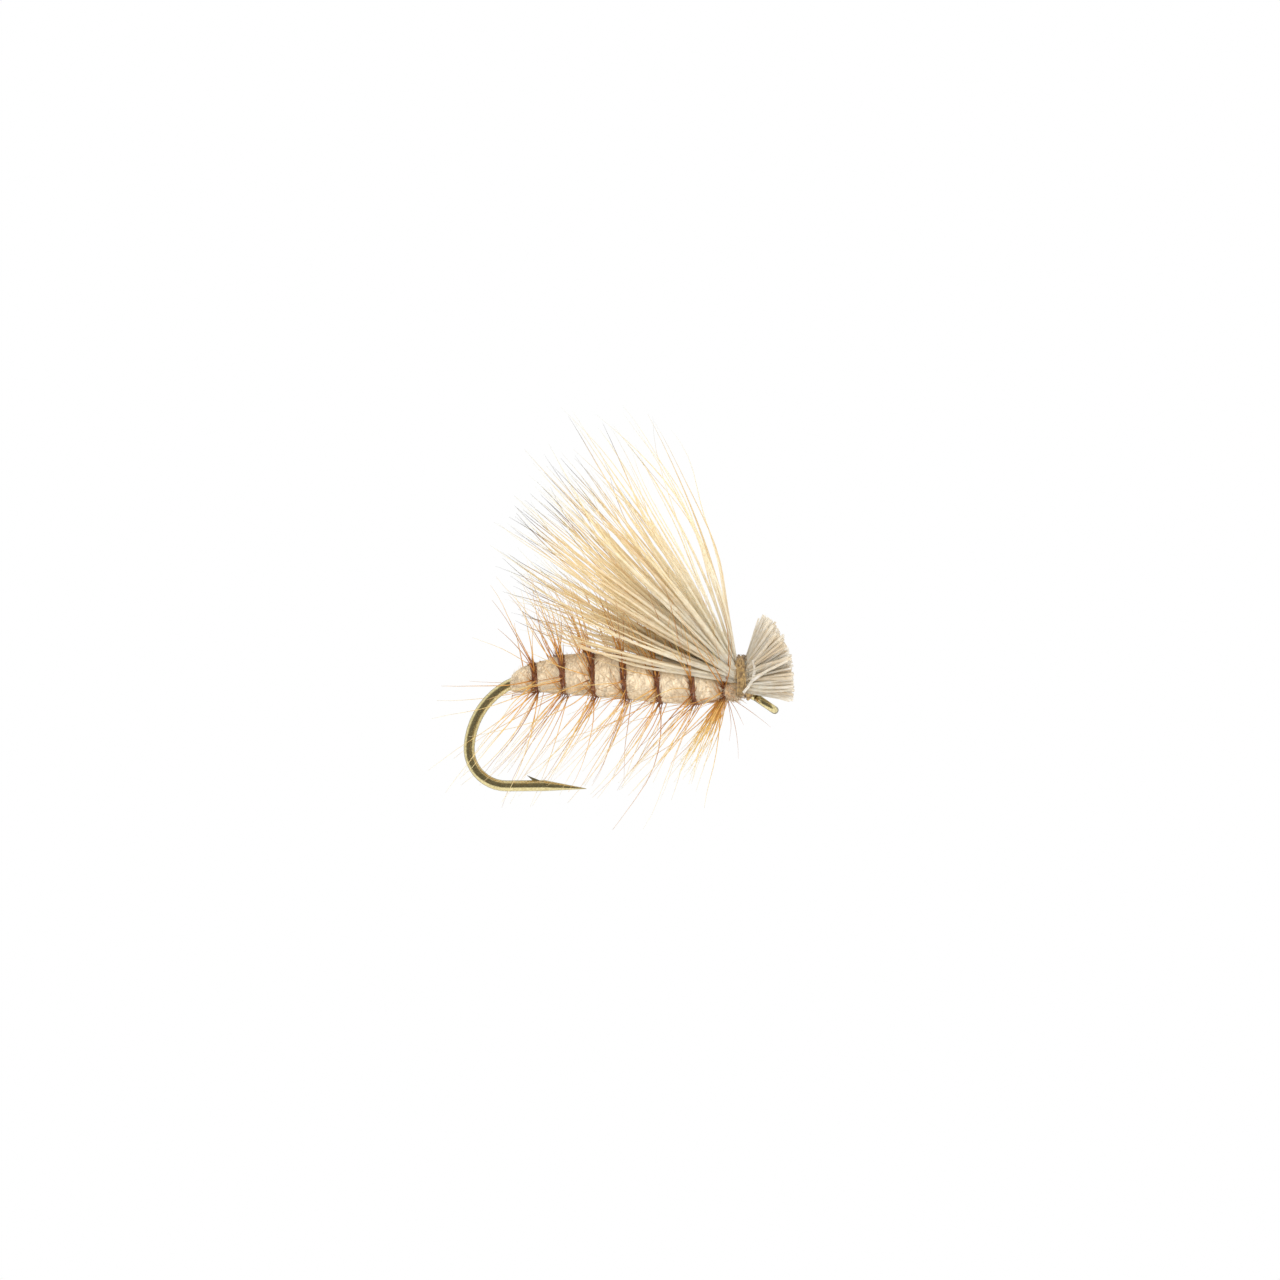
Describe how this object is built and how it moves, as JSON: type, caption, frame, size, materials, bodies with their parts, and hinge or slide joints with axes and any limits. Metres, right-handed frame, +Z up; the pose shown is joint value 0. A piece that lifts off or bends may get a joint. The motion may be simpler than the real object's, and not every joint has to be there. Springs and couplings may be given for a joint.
{
  "type": "dry fly",
  "caption": "Hair-wing dry fishing fly: barbed hook with a turned-down eye, tapered dubbed body, palmered hackle, swept-up hair wing and a clipped hair head bound by thread.",
  "frame": {"origin": "centre of the hook's eye", "axes": "+X forward along the hook shank towards the eye, +Z up out of the wing side, +Y to the fly's left"},
  "size_m": [0.0122, 0.0094, 0.016],
  "materials": {
    "bronzed_wire": "polished steel wire with a bronze-olive lacquer",
    "tying_thread": "waxed thread",
    "dubbing": "felted cream fur",
    "hackle_quill": "satin feather quill",
    "hackle_barb": "glossy translucent feather barb",
    "elk_hair": "hollow bleached hair with dark tips"
  },
  "bodies": {
    "root": {"hook": "bronzed_wire", "thread_underwrap": "tying_thread", "thread_tie_down": "tying_thread", "dubbed_body": "dubbing", "hackle_stem": "hackle_quill", "hackle_barbs_1": "hackle_barb", "hackle_barbs_2": "hackle_barb", "hackle_barbs_3": "hackle_barb", "hackle_barbs_4": "hackle_barb", "hackle_barbs_5": "hackle_barb", "hackle_barbs_6": "hackle_barb", "hackle_barbs_7": "hackle_barb", "elk_hair_row_1": "elk_hair", "elk_hair_row_2": "elk_hair", "elk_hair_row_3": "elk_hair", "elk_hair_row_4": "elk_hair", "elk_hair_row_5": "elk_hair", "elk_hair_row_6": "elk_hair", "thread_collar": "tying_thread", "whip_finish": "tying_thread"}
  },
  "joints": []
}
